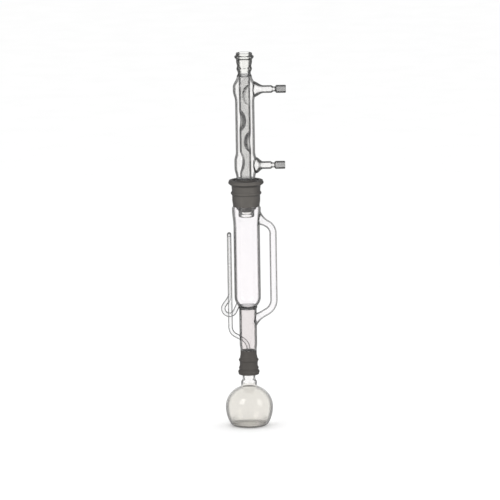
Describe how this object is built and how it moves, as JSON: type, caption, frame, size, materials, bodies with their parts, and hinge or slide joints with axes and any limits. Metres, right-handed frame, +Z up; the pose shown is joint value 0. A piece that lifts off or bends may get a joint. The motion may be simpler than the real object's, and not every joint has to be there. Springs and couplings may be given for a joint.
{
  "type": "siphon extraction apparatus with liebig condenser",
  "caption": "Water-jacketed condenser with a dented inner tube, standing by ground taper joints in a siphon extractor on a flat-bottomed flask, all in clear glass.",
  "frame": {"origin": "centre of the flask's flat base", "axes": "+Z up along the common axis of the glassware, +X towards the condenser's hose nozzles"},
  "size_m": [0.1224, 0.085, 0.68],
  "materials": {
    "clear_glass": "polished",
    "ground_glass": "ground",
    "fused_seal_glass": "fire polished",
    "siphon_glass": "polished",
    "inner_tube_glass": "polished"
  },
  "bodies": {
    "flask": {"flask_bulb": "clear_glass", "flask_neck": "clear_glass", "flask_cone": "ground_glass"},
    "extractor": {"lower_socket": "ground_glass", "stem": "clear_glass", "stem_seal": "fused_seal_glass", "chamber": "clear_glass", "upper_socket": "ground_glass", "vapour_tube": "clear_glass", "siphon_intake": "siphon_glass", "siphon_bend": "siphon_glass", "siphon_leg": "siphon_glass", "drip_tube": "siphon_glass"},
    "condenser": {"condenser_cone": "ground_glass", "drip_tip": "clear_glass", "lower_ring_seal": "fused_seal_glass", "jacket": "clear_glass", "inner_tube": "inner_tube_glass", "upper_ring_seal": "fused_seal_glass", "water_inlet": "clear_glass", "water_outlet": "clear_glass", "top_socket": "clear_glass"}
  },
  "joints": [
    {"name": "extractor_lift", "type": "slide", "parent": "flask", "child": "extractor", "axis": [0, 0, 1], "range_m": [0, 0.06]},
    {"name": "condenser_lift", "type": "slide", "parent": "extractor", "child": "condenser", "axis": [0, 0, 1], "range_m": [0, 0.08]}
  ]
}
